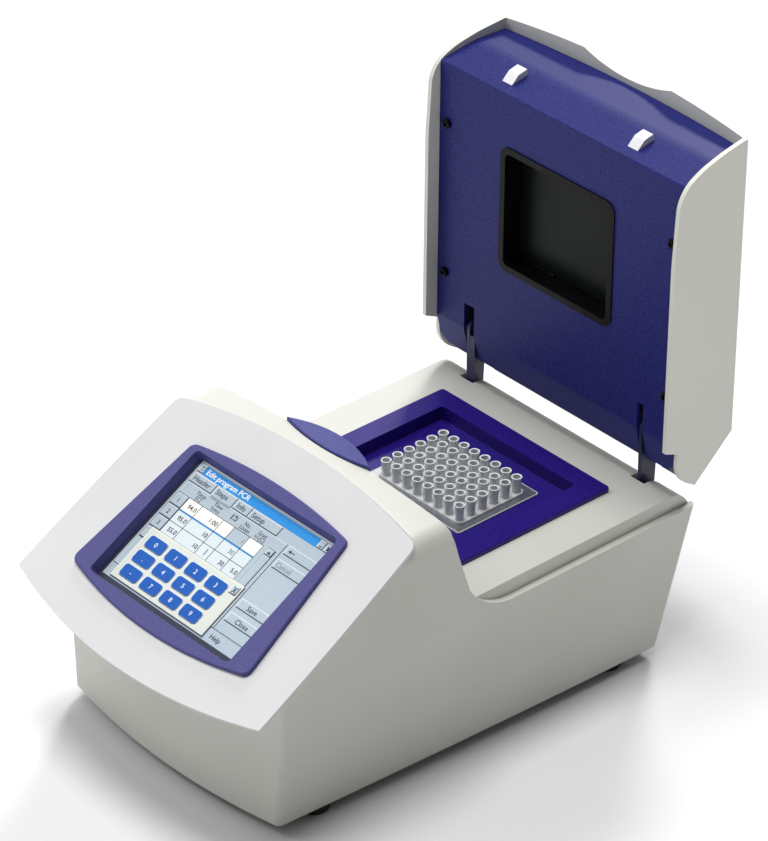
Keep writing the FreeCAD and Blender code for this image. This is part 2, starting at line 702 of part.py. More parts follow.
def make_fan_frame():
    """Square fan frame with motor hub and four struts."""
    half = FAN_SIZE / 2
    frame = plate(0, BLOCK_Y, FAN_SIZE, FAN_SIZE, FAN_FLOOR_Z, FAN_DEPTH, 5.0)
    frame = frame.cut(cylinder((0, BLOCK_Y, 0), (0, 0, 1), half - 2.0, 60.0))
    hub = cylinder((0, BLOCK_Y, FAN_FLOOR_Z), (0, 0, 1), 19.0, 3.0)
    struts = []
    for index in range(4):
        strut = box(15.0, half - 1.0, -2.0, 2.0, FAN_FLOOR_Z, FAN_FLOOR_Z + 2.4)
        strut.rotate(VECTOR(0, 0, 0), VECTOR(0, 0, 1), 45 + 90 * index)
        strut.translate(VECTOR(0, BLOCK_Y, 0))
        struts.append(strut)
    pin = cylinder((0, BLOCK_Y, FAN_FLOOR_Z + 2.0), (0, 0, 1), 2.0, 16.0)
    holes = []
    for x in (-41.3, 41.3):
        for y in (-41.3, 41.3):
            holes.append(cylinder((x, BLOCK_Y + y, 0), (0, 0, 1), 2.2, 60.0))
    return fuse_all([frame, hub, pin] + struts).cut(holes)


def make_fan_rotor():
    """Fan rotor with seven blades, turning on the frame's pin."""
    base = FAN_FLOOR_Z + 4.0
    height = 19.0
    hub = cylinder((0, 0, base), (0, 0, 1), 18.0, height)
    blades = []
    for index in range(7):
        blade = box(16.0, 41.5, -0.9, 0.9, base + 1.0, base + 18.0)
        blade.rotate(VECTOR(0, 0, base + 9.5), VECTOR(1, 0, 0), 38.0)
        blade = blade.common(cylinder((0, 0, base + 0.5), (0, 0, 1), 41.0, 18.0))
        blade.rotate(VECTOR(0, 0, 0), VECTOR(0, 0, 1), 360.0 * index / 7)
        blades.append(blade)
    rotor = fuse_all([hub] + blades)
    rotor = rotor.cut(cylinder((0, 0, base - 1), (0, 0, 1), 2.0 + PIN_CLEARANCE, 16.0))
    rotor.translate(VECTOR(0, BLOCK_Y, 0))
    return rotor


# ---------------------------------------------------------------- hinge

def make_hinge_arm(side):
    """A flat swan-neck arm that rises from the deck slot and curves back to the hinge pin."""
    corners = [(138.6, 79.0, 0), (146.0, 79.0, 0), (150.4, 97.0, 3.0), (151.0, 112.0, 6.0),
               (150.2, 126.0, 3.0),
               (156.0, 125.0, 2.0), (168.5, 125.5, 6.5), (168.5, 140.5, 7.0), (156.0, 141.5, 4.0),
               (150.0, 144.8, 5.0), (138.2, 144.5, 6.0), (138.6, 112.0, 20.0)]
    low = side * HINGE_X - ARM_THICKNESS / 2
    arm = side_prism(corners, low, low + ARM_THICKNESS)
    if side < 0:
        web = [(138.6, 96.0, 0), (141.2, 96.0, 0), (141.2, 134.6, 0.8), (138.5, 135.4, 0.8)]
        arm = arm.fuse(side_prism(web, -HINGE_X, -ARM_WEB_INNER))
    bore_radius = HINGE_PIN_RADIUS + PIN_CLEARANCE
    bore = cylinder((low - 1, HINGE_Y, HINGE_Z), (1, 0, 0), bore_radius, ARM_THICKNESS + 2)
    arm = arm.cut(bore)
    for z in ARM_SCREW_HEIGHTS:
        arm = arm.cut(cylinder((low - 1, ARM_SCREW_Y, z), (1, 0, 0), 1.6, ARM_THICKNESS + 2))
    return arm


def make_hinge_crossbar():
    """Steel bar under the deck that ties both arms to the housing."""
    inner = HINGE_X - ARM_THICKNESS / 2
    bar = box(-inner, inner, 138.6, 145.6, 79.0, 93.0)
    groove = box(-inner + 8, inner - 8, 141.6, 160.0, 70.0, 90.0)
    bar = bar.cut(groove)
    holes = []
    for z in ARM_SCREW_HEIGHTS:
        holes.append(cylinder((inner - 12.0, ARM_SCREW_Y, z), (1, 0, 0), 1.5, 20.0))
        holes.append(cylinder((-inner - 8.0, ARM_SCREW_Y, z), (1, 0, 0), 1.5, 20.0))
    return bar.cut(holes)


def make_arm_screws():
    """Four screws through the arms into the crossbar."""
    screws = []
    outer = HINGE_X + ARM_THICKNESS / 2
    for z in ARM_SCREW_HEIGHTS:
        head = cylinder((outer, ARM_SCREW_Y, z), (1, 0, 0), 2.6, 2.0)
        shank = cylinder((outer - 11.0, ARM_SCREW_Y, z), (1, 0, 0), 1.45, 11.0)
        screws += both_sides(head.fuse(shank))
    return screws


def make_hinge_brackets():
    """Steel ears on both sides of each arm slot that hold the pins inside the lid."""
    brackets = []
    top_z = HINGE_Z + 30.0
    for x0, x1 in ((62.6, 65.6), (79.9, 82.9)):
        corners = [(CASE_FACE_Y + CASE_WALL, HINGE_Z + 12.0, 0), (CASE_FACE_Y + CASE_WALL, top_z, 0),
                   (CASE_FACE_Y + 9.0, top_z, 0), (HINGE_Y + 7.0, HINGE_Z + 7.0, 6.0),
                   (HINGE_Y + 7.0, HINGE_Z - 7.0, 6.5), (HINGE_Y - 7.0, HINGE_Z - 7.0, 6.5)]
        ear = side_prism(corners, x0, x1)
        ear = ear.cut(cylinder((x0 - 1, HINGE_Y, HINGE_Z), (1, 0, 0), HINGE_PIN_RADIUS, x1 - x0 + 2))
        brackets += both_sides(ear)
    return brackets


def make_hinge_pins():
    """Two short steel pins, pressed into the lid's ears."""
    pin = cylinder((61.6, HINGE_Y, HINGE_Z), (1, 0, 0), HINGE_PIN_RADIUS, 22.3)
    collar = cylinder((60.1, HINGE_Y, HINGE_Z), (1, 0, 0), HINGE_PIN_RADIUS + 1.5, 1.5)
    return both_sides(pin.fuse(collar))


# ---------------------------------------------------------------- lid

def cover_plan(inset):
    """Plan section of the cover: two flanks that draw in towards a crowned back."""
    taper = (COVER_HALF_WIDTH - COVER_BACK_HALF_WIDTH) / (COVER_BACK_CORNER_Y - COVER_FRONT_Y)
    corner_y = COVER_BACK_CORNER_Y - inset
    centre_y = COVER_BACK_CENTRE_Y - inset
    front_y = COVER_FRONT_Y - 40.0
    front_half = COVER_HALF_WIDTH - inset + taper * 40.0
    back_half = COVER_BACK_HALF_WIDTH - inset + taper * inset
    front_left = VECTOR(-front_half, front_y, 0)
    front_right = VECTOR(front_half, front_y, 0)
    back_right = VECTOR(back_half, corner_y, 0)
    back_left = VECTOR(-back_half, corner_y, 0)
    edges = [Part.makeLine(front_left, front_right), Part.makeLine(front_right, back_right),
             Part.Arc(back_right, VECTOR(0, centre_y, 0), back_left).toShape(),
             Part.makeLine(back_left, front_left)]
    return Part.Wire(edges)


def cover_form(inset, top_z):
    """The volume under the cover's skin, up to a height."""
    form = extrude_wire(cover_plan(inset), top_z - 90.0, 90.0)
    uprights = [edge for edge in form.Edges
                if edge.BoundBox.ZLength > 100 and edge.BoundBox.YMin > COVER_BACK_CORNER_Y - 10]
    form = form.makeFillet(2.4 if inset == 0 else 0.8, uprights)
    lift = inset * math.hypot(1.0, COVER_HINGE_SLOPE)
    near_z = COVER_TIP_Z - COVER_HINGE_SLOPE * (COVER_TIP_Y - 90.0) + lift
    far_z = COVER_TIP_Z + COVER_HINGE_SLOPE * (210.0 - COVER_TIP_Y) + lift
    slant = [(90.0, near_z, 0), (210.0, far_z, 0), (210.0, 20.0, 0), (90.0, 20.0, 0)]
    return form.cut(side_prism(slant, -130.0, 130.0))


def make_lid_cover():
    """White moulded lid shell: crowned back skin, two flanks and a slanted hinge side."""
    shell = cover_form(0.0, 330.0).cut(cover_form(COVER_WALL, 340.0))
    flank = [(COVER_FRONT_Y, 139.6, 0), (COVER_FRONT_Y + 0.2, 262.0, 60.0), (131.5, 308.4, 20.0),
             (150.0, 316.4, 40.0), (166.0, 320.0, 80.0), (186.0, COVER_CORNER_Z + 0.3, 0),
             (186.0, 340.0, 0), (215.0, 340.0, 0),
             (215.0, 90.0, 0), (165.0, 90.0, 0), (COVER_TIP_Y, COVER_TIP_Z, 0.5), (139.0, 117.0, 20.0),
             (139.4, 134.8, 0.6)]
    shell = shell.common(side_prism(flank, -130.0, 130.0))
    rise = COVER_CROWN_Z - COVER_CORNER_Z
    crown_radius = (COVER_BACK_HALF_WIDTH ** 2 + rise ** 2) / (2 * rise)
    crown = cylinder((0, 100.0, COVER_CROWN_Z - crown_radius), (0, 1, 0), crown_radius, 120.0)
    notch_z = COVER_NOTCH_Z + COVER_NOTCH_RADIUS
    notch = cylinder((0, 150.0, notch_z), (0, 1, 0), COVER_NOTCH_RADIUS, 80.0)
    shell = largest(shell.common(crown).cut([notch] + cover_arm_slots()))
    return shell


def cover_arm_slots():
    """Clearance in the slanted side for the hinge arms."""
    slot = box(ARM_SLOT_INNER - 0.6, ARM_SLOT_OUTER + 0.6, 140.0, 170.0, 95.0, 122.0)
    return both_sides(slot)


def case_side(inset=0.0):
    """Side profile of the inner case, from the window face round to the cover's skin."""
    crest_z = CASE_TOP_Z + 5.0
    return [(CASE_FACE_Y + inset, CASE_BEND_Z, 0), (CASE_FACE_Y + inset, CASE_TOP_Z - inset, 0.8),
            (163.0, crest_z - inset, 40.0), (205.0, crest_z + 0.4 - inset, 0),
            (205.0, CASE_LOW_Z + inset, 0), (141.0 + inset, CASE_LOW_Z + inset, 0)]


def make_lid_case():
    """Blue inner case: window face with a bevelled hinge edge, sides and a rising top."""
    outer = side_prism(case_side(), -CASE_HALF_WIDTH, CASE_HALF_WIDTH)
    outer = outer.common(cover_form(COVER_WALL + 0.2, 340.0)).common(case_front())
    inner = side_prism(case_side(CASE_WALL), -CASE_HALF_WIDTH, CASE_HALF_WIDTH)
    inner = inner.common(cover_form(COVER_WALL + 0.2 + CASE_WALL, 340.0)).common(case_front(CASE_WALL))
    inner = inner.fuse(box(-80.0, 80.0, 175.0, 205.0, 140.0, 300.0))
    case = outer.cut(inner)
    middle_z = (WINDOW_LOW_Z + WINDOW_HIGH_Z) / 2
    high = WINDOW_HIGH_Z - WINDOW_LOW_Z
    corners = rectangle(0, middle_z, 2 * WINDOW_HALF_WIDTH + 0.2, high + 0.2, 6.0)
    window = stand_up(extrude_wire(outline(corners), 30.0), 125.0)
    arm_slots = [box(-ARM_SLOT_OUTER, -ARM_SLOT_INNER, 120.0, 172.0, 100.0, 156.6),
                 box(ARM_SLOT_OUTER - 4.8, ARM_SLOT_OUTER, 120.0, 172.0, 100.0, 156.6)]
    case = largest(case.cut([window] + arm_slots))
    bosses = []
    for x, z in lid_screw_places():
        boss = cylinder((x, CASE_FACE_Y, z), (0, 1, 0), 4.2, 6.0)
        bosses.append(boss)
    case = fuse_all([case] + bosses)
    holes = [cylinder((x, CASE_FACE_Y - 1, z), (0, 1, 0), 1.55, 9.0) for x, z in lid_screw_places()]
    return case.cut(holes)


def case_front(inset=0.0):
    """Front outline of the inner case, with its lower corners rounded."""
    half = CASE_HALF_WIDTH - inset
    low = CASE_LOW_Z - 0.5 + inset
    corners = [(-half, low, 12.0), (half, low, 12.0), (half, 340.0, 0), (-half, 340.0, 0)]
    return stand_up(extrude_wire(outline(corners), 100.0), 120.0)


def stand_up(solid, front_y):
    """Turns a piece drawn flat (x across, y up, z towards the back) upright at a front plane."""
    placed = solid.copy()
    placed.rotate(VECTOR(0, 0, 0), VECTOR(1, 0, 0), 90.0)
    # After the turn the piece's height runs to -Y, so it is reflected back.
    placed = placed.mirror(VECTOR(0, 0, 0), VECTOR(0, 1, 0))
    placed.translate(VECTOR(0, front_y, 0))
    return placed


def lid_screw_places():
    """Places of the four lid screws, as (x, z)."""
    return [(x, z) for x in (-93.2, 93.2) for z in (170.7, 271.0)]


def make_lid_screws():
    """Four black button-head screws with hexagon sockets."""
    screws = []
    for x, z in lid_screw_places():
        head = cylinder((x, CASE_FACE_Y - 2.2, z), (0, 1, 0), 3.1, 2.2)
        front = [edge for edge in head.Edges if edge.BoundBox.YMax < CASE_FACE_Y - 2.1]
        head = head.makeFillet(1.3, front)
        turns = [math.radians(60 * k) for k in range(6)]
        hexagon = [(1.25 * math.cos(turn), 1.25 * math.sin(turn), 0) for turn in turns]
        socket = stand_up(extrude_wire(outline(hexagon), 1.4), CASE_FACE_Y - 2.3)
        socket.translate(VECTOR(x, 0, z))
        shank = cylinder((x, CASE_FACE_Y, z), (0, 1, 0), 1.5, 7.0)
        screws.append(head.cut(socket).fuse(shank))
    return screws


def make_window_frame():
    """Black frame that lines the lid's window, with a thin lip on the face."""
    middle_z = (WINDOW_LOW_Z + WINDOW_HIGH_Z) / 2
    high = WINDOW_HIGH_Z - WINDOW_LOW_Z
    width = 2 * WINDOW_HALF_WIDTH
    tube = extrude_wire(outline(rectangle(0, middle_z, width, high, 5.9)), 12.0)
    lip = extrude_wire(outline(rectangle(0, middle_z, width + 2.4, high + 2.4, 7.0)), 0.8, -0.8)
    inner = extrude_wire(outline(rectangle(0, middle_z, width - 5.8, high - 5.8, 3.6)), 30.0, -5.0)
    frame = tube.fuse(lip).cut(inner)
    return stand_up(frame, CASE_FACE_Y)


def make_heated_plate():
    """Dark pressure plate that floats behind the window."""
    middle_z = (WINDOW_LOW_Z + WINDOW_HIGH_Z) / 2
    high = WINDOW_HIGH_Z - WINDOW_LOW_Z - 7.0
    face = extrude_wire(outline(rectangle(0, middle_z, 2 * WINDOW_HALF_WIDTH - 7.0, high, 3.0)), 8.0)
    rods = [cylinder((x, middle_z + z, 0), (0, 0, 1), ROD_RADIUS, 22.0)
            for x in (-ROD_X, ROD_X) for z in (-ROD_Z, ROD_Z)]
    return stand_up(fuse_all([face] + rods), HEATED_PLATE_Y)


def make_pressure_carrier():
    """Plate inside the lid that guides the pressure plate's four rods."""
    middle_z = (WINDOW_LOW_Z + WINDOW_HIGH_Z) / 2
    carrier = extrude_wire(outline(rectangle(0, middle_z, 120.0, 92.0, 4.0)), 4.0)
    holes = [cylinder((x, middle_z + z, -1), (0, 0, 1), ROD_RADIUS + 0.06, 10.0)
             for x in (-ROD_X, ROD_X) for z in (-ROD_Z, ROD_Z)]
    carrier = carrier.cut(holes)
    posts = [cylinder((x, middle_z + z, -23.6), (0, 0, 1), 3.5, 23.6)
             for x in (-54.0, 54.0) for z in (-40.0, 40.0)]
    return stand_up(fuse_all([carrier] + posts), HEATED_PLATE_Y + 14.2)


def make_lid_hooks():
    """Two white catches on the lid's leading side."""
    profile = [(144.2, CASE_TOP_Z - 1.0, 0), (144.2, CASE_TOP_Z + 1.2, 0), (149.6, CASE_TOP_Z + 6.4, 0.6),
               (156.6, CASE_TOP_Z + 8.0, 0.6), (158.6, CASE_TOP_Z - 1.0, 0)]
    solid = side_prism(profile, HOOK_X - 4.0, HOOK_X + 4.0)
    solid = solid.cut(side_prism(case_side(), 0, CASE_HALF_WIDTH))
    return both_sides(solid)


# ---------------------------------------------------------------- release pad and latch

def make_release_pad():
    """Blue leaf-shaped pad with its plunger, which ends in a wedge."""
    leaf = extrude_wire(pad_outline(), PAD_THICKNESS, PAD_TOP_Z - PAD_THICKNESS)
    rim = [edge for edge in leaf.Edges if edge.BoundBox.ZMin > PAD_TOP_Z - 0.1]
    leaf = fillet_if_possible(leaf, rim, 0.8)
    base = LATCH_Z + 6.0
    front_y = PLUNGER_BACK_Y - 3.2
    top = PAD_TOP_Z - PAD_THICKNESS + 0.5
    blade = side_prism([(front_y, base + 3.2, 0), (PLUNGER_BACK_Y, base, 0), (PLUNGER_BACK_Y, top, 0),
                        (front_y, top, 0)], -5.0, 5.0)
    return fuse_all([leaf, blade])


def make_pad_springs():
    """Two coil springs that push the pad back up."""
    height = PAD_TOP_Z - PAD_THICKNESS - SPRING_SEAT_Z - 0.7
    radius = 1.3
    wire_radius = 0.3
    path = Part.makeHelix(height / 7, height, radius)
    section = Part.Wire(Part.makeCircle(wire_radius, VECTOR(radius, 0, 0), VECTOR(0, 1, 0.35)))
    coil = Part.Wire(path).makePipeShell([section], True, True)
    coil.translate(VECTOR(SPRING_X, SPRING_Y, SPRING_SEAT_Z + 0.35))
    return both_sides(coil)


def make_latch_bar():
    """Sliding bar inside the ridge, with a ramp under the plunger and a lip over each hook."""
    back_y = PLUNGER_BACK_Y + 1.6
    top_z = LATCH_Z + 4.0
    bar = box(-60.0, 60.0, back_y - 5.6, back_y, LATCH_Z, top_z)
    ramp = side_prism([(back_y, top_z, 0), (back_y - 6.0, top_z + 6.0, 0), (back_y - 8.6, top_z + 6.0, 0),
                       (back_y - 8.6, LATCH_Z, 0), (back_y, LATCH_Z, 0)], -5.0, 5.0)
    lips = []
    for x in (-HOOK_X, HOOK_X):
        lips.append(box(x - 4.6, x + 4.6, back_y - 1.0, LATCH_LIP_Y, LATCH_Z, top_z))
    return fuse_all([bar, ramp] + lips)


def make_latch_guides():
    """Two guides that carry the latch bar under the ridge."""
    back_y = PLUNGER_BACK_Y + 1.6
    guide = box(30.0, 38.0, back_y - 14.0, back_y + 2.0, LATCH_Z - 3.0, LATCH_Z - 0.1)
    post = box(30.0, 38.0, back_y - 14.0, back_y - 10.0, LATCH_Z - 3.0, 161.0)
    return both_sides(guide.fuse(post).removeSplitter())


# ---------------------------------------------------------------- electrics

def make_power_supply():
    """Enclosed power supply on the floor, in front of the cooling stack."""
    case = plate(-36.0, -75.0, 96.0, 118.0, HOUSING_BOTTOM + 2.0, 42.0, 2.0)
    slots = [plate(-36.0 + (k - 5) * 8.0, -75.0, 3.0, 90.0, 48.0, 6.0, 1.4) for k in range(11)]
    return case.cut(slots)


def make_main_board():
    """Control board on the floor beside the power supply, with its main chips."""
    base = HOUSING_BOTTOM + 8.0
    board = plate(50.0, -75.0, 60.0, 118.0, base, 1.6, 1.5)
    parts = [board]
    chips = ((44, -60, 26, 26, 2.6), (62, -100, 18, 30, 9.0), (40, -112, 14, 22, 14.0))
    for x, y, width, depth, height in chips:
        parts.append(plate(x, y, width, depth, base + 1.6, height, 0.5))
    for x in (24.0, 76.0):
        for y in (-129.0, -21.0):
            parts.append(cylinder((x, y, HOUSING_BOTTOM + 2.0), (0, 0, 1), 2.5, 6.0))
    return fuse_all(parts)


def make_mains_inlet():
    """Three-pin mains inlet in the rear panel, open outwards."""
    flange = plate(-54.0, 38.0, 31.0, 24.0, -2.0, 2.4, 2.0)
    body = plate(-54.0, 38.0, 27.2, 20.0, 0.0, 24.0, 0.9)
    socket = plate(-54.0, 38.0, 24.0, 16.6, -3.0, 18.0, 2.5)
    inlet = flange.fuse(body).cut(socket)
    pin_places = ((-61.0, 36.0), (-47.0, 36.0), (-54.0, 40.0))
    pins = [box(x - 1.0, x + 1.0, y - 2.0, y + 2.0, -0.6, 15.6) for x, y in pin_places]
    return on_rear_wall(fuse_all([inlet] + pins))


def make_switch_housing():
    """Frame of the mains switch."""
    flange = plate(-23.0, 38.0, 16.6, 23.0, -1.6, 2.0, 1.5)
    body = plate(-23.0, 38.0, 13.2, 19.2, 0.0, 15.0, 0.7)
    cavity = plate(-23.0, 38.0, 11.0, 17.0, -3.0, 15.0, 0.6)
    frame = flange.fuse(body).cut(cavity)
    pin = cylinder((-31.0, 38.0, 5.0), (1, 0, 0), 1.0, 16.0)
    frame = frame.cut(pin)
    return on_rear_wall(largest(frame))


def make_rocker_pin():
    """Steel pin of the mains switch, fixed in its frame."""
    return on_rear_wall(cylinder((-29.4, 38.0, 5.0), (1, 0, 0), 1.0, 12.8))


def make_power_rocker():
    """Rocker of the mains switch, tipped about its pin."""
    corners = [(30.7, 3.0, 0), (30.7, -1.6, 1.0), (38.0, -0.2, 6.0), (45.3, -1.6, 1.0), (45.3, 3.0, 0),
               (38.0, 8.6, 3.0)]
    rocker = side_prism(corners, -28.1, -17.9)
    rocker = rocker.cut(cylinder((-31.0, 38.0, 5.0), (1, 0, 0), 1.0 + PIN_CLEARANCE, 16.0))
    rocker.rotate(VECTOR(0, 38.0, 5.0), VECTOR(1, 0, 0), -ROCKER_TILT)
    return on_rear_wall(rocker)


def make_data_port():
    """Square data socket in the rear panel."""
    flange = plate(57.0, 38.0, 16.0, 15.0, -0.8, 1.2, 1.0)
    body = plate(57.0, 38.0, 11.9, 10.7, 0.0, 16.0, 0.6)
    socket = plate(57.0, 38.0, 8.6, 7.8, -3.0, 14.0, 1.0)
    tongue = box(54.2, 59.8, 36.4, 39.6, 0.2, 11.5)
    return on_rear_wall(fuse_all([flange.fuse(body).cut(socket), tongue]))


def make_housing_screws():
    """Six screws that hold the floor to the housing's bosses."""
    screws = []
    for x, y in FLOOR_SCREWS:
        head = cylinder((x, y, HOUSING_BOTTOM - 1.6), (0, 0, 1), 3.0, 1.6)
        shank = cylinder((x, y, HOUSING_BOTTOM), (0, 0, 1), 1.5, 9.0)
        screws += both_sides(head.fuse(shank))
    return screws


PIECES = {
    "main_housing": make_main_housing, "bottom_plate": make_bottom_plate, "rear_panel": make_rear_panel,
    "rubber_feet": make_rubber_feet, "foot_screws": make_foot_screws, "front_fascia": make_front_fascia,
    "screen_bezel": make_screen_bezel, "touch_glass": make_touch_glass, "lcd_module": make_lcd_module,
    "display_board": make_display_board, "block_frame": make_block_frame, "block_seal": make_block_seal,
    "sample_block": make_sample_block, "sample_plate": make_sample_plate,
    "peltier_modules": make_peltier_modules, "heat_sink": make_heat_sink, "sink_posts": make_sink_posts,
    "fan_frame": make_fan_frame, "fan_rotor": make_fan_rotor,
    "hinge_crossbar": make_hinge_crossbar, "arm_screws": make_arm_screws,
    "hinge_brackets": make_hinge_brackets, "hinge_pins": make_hinge_pins, "lid_cover": make_lid_cover,
    "lid_case": make_lid_case, "lid_screws": make_lid_screws, "window_frame": make_window_frame,
    "heated_plate": make_heated_plate, "pressure_carrier": make_pressure_carrier,
    "lid_hooks": make_lid_hooks,
    "release_pad": make_release_pad, "latch_bar": make_latch_bar, "latch_guides": make_latch_guides,
    "pad_springs": make_pad_springs,
    "power_supply": make_power_supply, "main_board": make_main_board, "mains_inlet": make_mains_inlet,
    "switch_housing": make_switch_housing, "rocker_pin": make_rocker_pin, "power_rocker": make_power_rocker,
    "data_port": make_data_port, "housing_screws": make_housing_screws,
}


def main():
    """Makes every piece and writes it."""
    os.makedirs("parts", exist_ok=True)
    for name, make in PIECES.items():
        write(name, make())
    write("hinge_arm_left", make_hinge_arm(-1))
    write("hinge_arm_right", make_hinge_arm(1))


main()
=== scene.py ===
import math

import bmesh
import bpy
from mathutils import Matrix, Vector


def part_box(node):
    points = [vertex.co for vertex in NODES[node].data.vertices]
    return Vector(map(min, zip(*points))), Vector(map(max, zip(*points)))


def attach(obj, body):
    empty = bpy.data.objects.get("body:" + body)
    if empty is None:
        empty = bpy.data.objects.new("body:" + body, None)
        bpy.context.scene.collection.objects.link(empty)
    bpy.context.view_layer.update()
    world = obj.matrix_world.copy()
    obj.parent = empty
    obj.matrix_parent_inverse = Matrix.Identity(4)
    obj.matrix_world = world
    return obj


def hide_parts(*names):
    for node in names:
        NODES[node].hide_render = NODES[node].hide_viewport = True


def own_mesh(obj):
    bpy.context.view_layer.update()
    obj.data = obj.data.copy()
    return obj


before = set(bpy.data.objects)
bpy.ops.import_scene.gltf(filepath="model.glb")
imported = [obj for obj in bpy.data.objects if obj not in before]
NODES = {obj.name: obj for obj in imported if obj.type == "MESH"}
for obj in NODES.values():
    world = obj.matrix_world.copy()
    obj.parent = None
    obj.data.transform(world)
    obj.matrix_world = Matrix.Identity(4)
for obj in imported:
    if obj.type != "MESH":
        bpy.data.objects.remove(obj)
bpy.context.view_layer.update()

# Looks for the bench thermal cycler. Metres, +X right, +Y back, +Z up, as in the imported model.

MM = 0.001


def add_to_scene(item):
    """Links a new object to the scene."""
    bpy.context.scene.collection.objects.link(item)


# ---------------------------------------------------------------- colours and materials

# Noise scales, in noise cells per metre.
BROAD_SHADE = 9.0
MOULDING_GRAIN = 2600.0
SPECKLE = 1500.0
METAL_MARKS = 90.0
TUBE_CLOUD = 700.0
GLASS_SMEAR = 60.0
DISPLAY_GRAIN = 1400.0
FLOOR_GRAIN = 2.0

# Bump depths.
MOULDING_DEPTH = 0.08 * MM
SPECKLE_DEPTH = 0.1 * MM
METAL_DEPTH = 0.05 * MM

DISPLAY_GLOW = 0.2

# How closely a metal's marks follow each other along X, Y and Z. Drawn sheet has lines along X, and
# turned pins have rings round it.
DRAWN = (1.0, 30.0, 30.0)
TURNED = (30.0, 1.0, 1.0)
EVEN = (1.0, 1.0, 1.0)


def colour(red, green, blue):
    """Linear colour from 0-255 display values."""
    channels = []
    for value in (red, green, blue):
        share = value / 255.0
        channels.append(share / 12.92 if share <= 0.04045 else ((share + 0.055) / 1.055) ** 2.4)
    return (channels[0], channels[1], channels[2], 1.0)


def blank_material(name):
    """A node material with its Principled shader."""
    material = bpy.data.materials.new(name)
    material.use_nodes = True
    shader = material.node_tree.nodes["Principled BSDF"]
    return material, material.node_tree, shader


def object_noise(tree, scale, detail=2.0, closeness=EVEN):
    """Noise in object space, closer along some axes if asked."""
    place = tree.nodes.new("ShaderNodeTexCoord")
    mapping = tree.nodes.new("ShaderNodeMapping")
    mapping.inputs["Scale"].default_value = closeness
    noise = tree.nodes.new("ShaderNodeTexNoise")
    noise.inputs["Scale"].default_value = scale
    noise.inputs["Detail"].default_value = detail
    tree.links.new(place.outputs["Object"], mapping.inputs["Vector"])
    tree.links.new(mapping.outputs["Vector"], noise.inputs["Vector"])
    return noise


def ramp(tree, source, low, high, low_colour, high_colour):
    """A colour ramp driven by a noise's value."""
    node = tree.nodes.new("ShaderNodeValToRGB")
    node.color_ramp.elements[0].position = low
    node.color_ramp.elements[1].position = high
    node.color_ramp.elements[0].color = low_colour
    node.color_ramp.elements[1].color = high_colour
    tree.links.new(source.outputs["Fac"], node.inputs["Fac"])
    return node


def paint(tree, shader, noise, dark, light, low=0.3, high=0.7):
    """Base colour that changes with a noise, from dark to light."""
    shades = ramp(tree, noise, low, high, dark, light)
    tree.links.new(shades.outputs["Color"], shader.inputs["Base Color"])
    return shades


def vary_roughness(tree, shader, noise, low, high):
    """Roughness that changes with a noise."""
    span = tree.nodes.new("ShaderNodeMapRange")
    span.inputs["To Min"].default_value = low
    span.inputs["To Max"].default_value = high
    tree.links.new(noise.outputs["Fac"], span.inputs["Value"])
    tree.links.new(span.outputs["Result"], shader.inputs["Roughness"])


def add_bump(tree, shader, noise, strength, distance):
    """Fine surface grain."""
    bump = tree.nodes.new("ShaderNodeBump")
    bump.inputs["Strength"].default_value = strength
    bump.inputs["Distance"].default_value = distance
    tree.links.new(noise.outputs["Fac"], bump.inputs["Height"])
    tree.links.new(bump.outputs["Normal"], shader.inputs["Normal"])


def moulded(name, light, dark, roughness, grain=MOULDING_GRAIN, grain_strength=0.25, shine=0.5):
    """Moulded plastic: faint broad colour change, fine grain and uneven gloss."""
    material, tree, shader = blank_material(name)
    broad = object_noise(tree, BROAD_SHADE, 3.0)
    paint(tree, shader, broad, dark, light)
    fine = object_noise(tree, grain, 1.0)
    vary_roughness(tree, shader, fine, roughness - 0.05, roughness + 0.05)
    add_bump(tree, shader, fine, grain_strength, MOULDING_DEPTH)
    shader.inputs["Specular IOR Level"].default_value = shine
    return material


def speckled(name, light, dark, roughness, coat=0.0, shine=0.3):
    """Satin blue with a fine light speckle."""
    material, tree, shader = blank_material(name)
    specks = object_noise(tree, SPECKLE, 1.0)
    paint(tree, shader, specks, dark, light, 0.35, 0.72)
    vary_roughness(tree, shader, specks, roughness - 0.06, roughness + 0.06)
    add_bump(tree, shader, specks, 0.3, SPECKLE_DEPTH)
    shader.inputs["Coat Weight"].default_value = coat
    shader.inputs["Coat Roughness"].default_value = 0.2
    shader.inputs["Specular IOR Level"].default_value = shine
    return material


def metal(name, light, dark, roughness, closeness=DRAWN):
    """Machined or brushed metal, with marks along one direction."""
    material, tree, shader = blank_material(name)
    marks = object_noise(tree, METAL_MARKS, 4.0, closeness)
    paint(tree, shader, marks, dark, light, 0.35, 0.65)
    vary_roughness(tree, shader, marks, roughness - 0.07, roughness + 0.07)
    add_bump(tree, shader, marks, 0.15, METAL_DEPTH)
    shader.inputs["Metallic"].default_value = 1.0
    return material


def clear_plastic(name):
    """Frosted clear plastic of the sample tubes."""
    material, tree, shader = blank_material(name)
    cloud = object_noise(tree, TUBE_CLOUD)
    paint(tree, shader, cloud, colour(232, 236, 238), colour(250, 250, 250))
    vary_roughness(tree, shader, cloud, 0.04, 0.12)
    shader.inputs["Transmission Weight"].default_value = 0.3
    shader.inputs["IOR"].default_value = 1.35
    return material


def screen_glass(name):
    """Thin clear touch panel."""
    material, tree, shader = blank_material(name)
    smear = object_noise(tree, GLASS_SMEAR, 3.0)
    paint(tree, shader, smear, colour(235, 240, 242), colour(255, 255, 255))
    vary_roughness(tree, shader, smear, 0.06, 0.14)
    shader.inputs["Alpha"].default_value = 0.07
    return material


